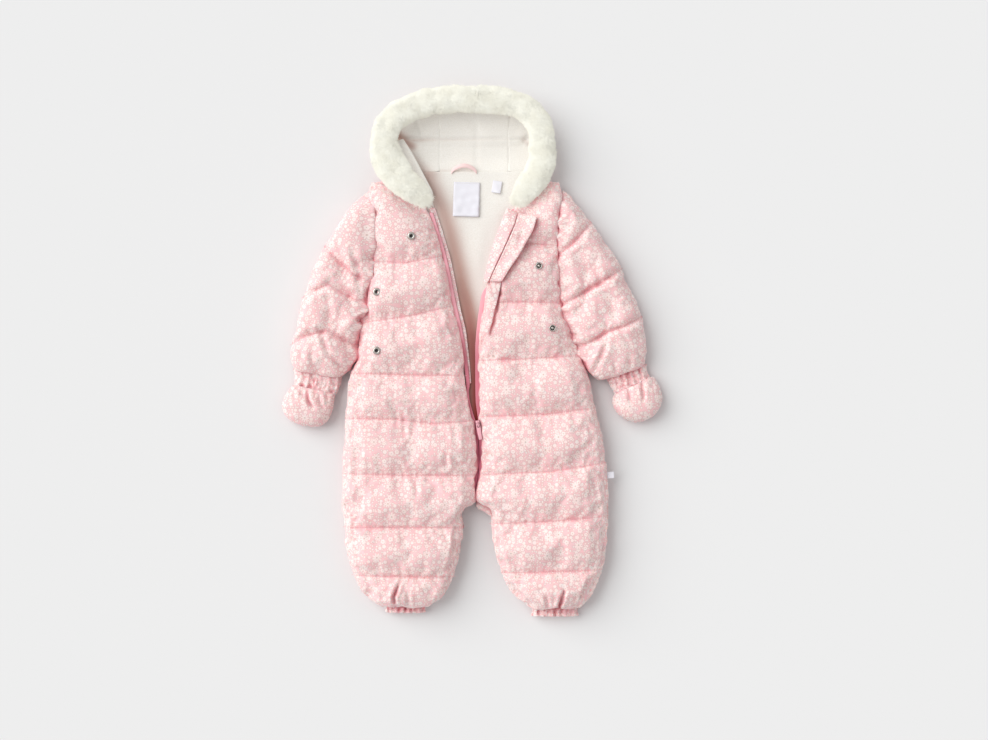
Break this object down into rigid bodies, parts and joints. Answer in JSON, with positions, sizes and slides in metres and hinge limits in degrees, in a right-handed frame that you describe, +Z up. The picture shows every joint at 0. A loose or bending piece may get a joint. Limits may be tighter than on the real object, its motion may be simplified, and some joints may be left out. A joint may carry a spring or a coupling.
{
  "type": "baby snowsuit",
  "caption": "Padded one-piece winter suit for a baby, laid flat with its front zip open, with fur-trimmed hood, legs and fold-over mitts.",
  "frame": {"origin": "middle of the suit's outline, on the surface that it lies on", "axes": "+Z up from the surface through the back to the front, +Y from the legs to the hood, +X to the wearer's left"},
  "size_m": [0.478, 0.664, 0.0515],
  "materials": {
    "shell_fabric": "matt woven polyester with a small white flower print on pink",
    "fleece_lining": "short brushed fleece, cream",
    "fur_pile": "dense soft imitation fur, ivory",
    "zip_tape": "plain woven tape, pink",
    "zip_enamel": "enamelled in pink",
    "snap_metal": "nickel-plated, softly worn",
    "ribbon": "satin ribbon, pink",
    "label_satin": "bare woven satin, white"
  },
  "bodies": {
    "suit": {"front_right": "shell_fabric", "front_left": "shell_fabric", "back_right": "shell_fabric", "back_left": "shell_fabric", "sleeve_right": "shell_fabric", "sleeve_left": "shell_fabric", "cuff_right": "shell_fabric", "cuff_left": "shell_fabric", "hem_band_right": "shell_fabric", "hem_band_left": "shell_fabric", "mitt_right_upper": "shell_fabric", "mitt_right_lower": "shell_fabric", "mitt_left_upper": "shell_fabric", "mitt_left_lower": "shell_fabric", "hood_side_right": "shell_fabric", "hood_side_left": "shell_fabric", "hood_centre": "shell_fabric", "placket": "shell_fabric", "placket_tail": "shell_fabric", "zip_facing": "shell_fabric", "front_facing_right": "shell_fabric", "hood_lining_side_right": "fleece_lining", "hood_lining_side_left": "fleece_lining", "hood_lining_centre": "fleece_lining", "back_lining": "fleece_lining", "hood_facing_right": "fleece_lining", "fur_trim_right": "fur_pile", "fur_trim_left": "fur_pile", "zip_tape_right": "zip_tape", "zip_tape_left": "zip_tape", "zip_slider": "zip_enamel", "hang_loop": "ribbon", "neck_label": "label_satin", "size_label": "label_satin", "side_tab": "label_satin", "snap_socket_1": "snap_metal", "snap_socket_2": "snap_metal", "snap_socket_3": "snap_metal", "snap_stud_1": "snap_metal", "snap_stud_2": "snap_metal"},
    "pull_tab": {"zip_pull_tab": "zip_enamel"}
  },
  "joints": [
    {"name": "pull_tab_hinge", "type": "hinge", "parent": "suit", "child": "pull_tab", "pos_m": [0.0076, -0.091, 0.0257], "axis": [-0.9856, -0.1692, 0], "range_deg": [0, 150]}
  ]
}
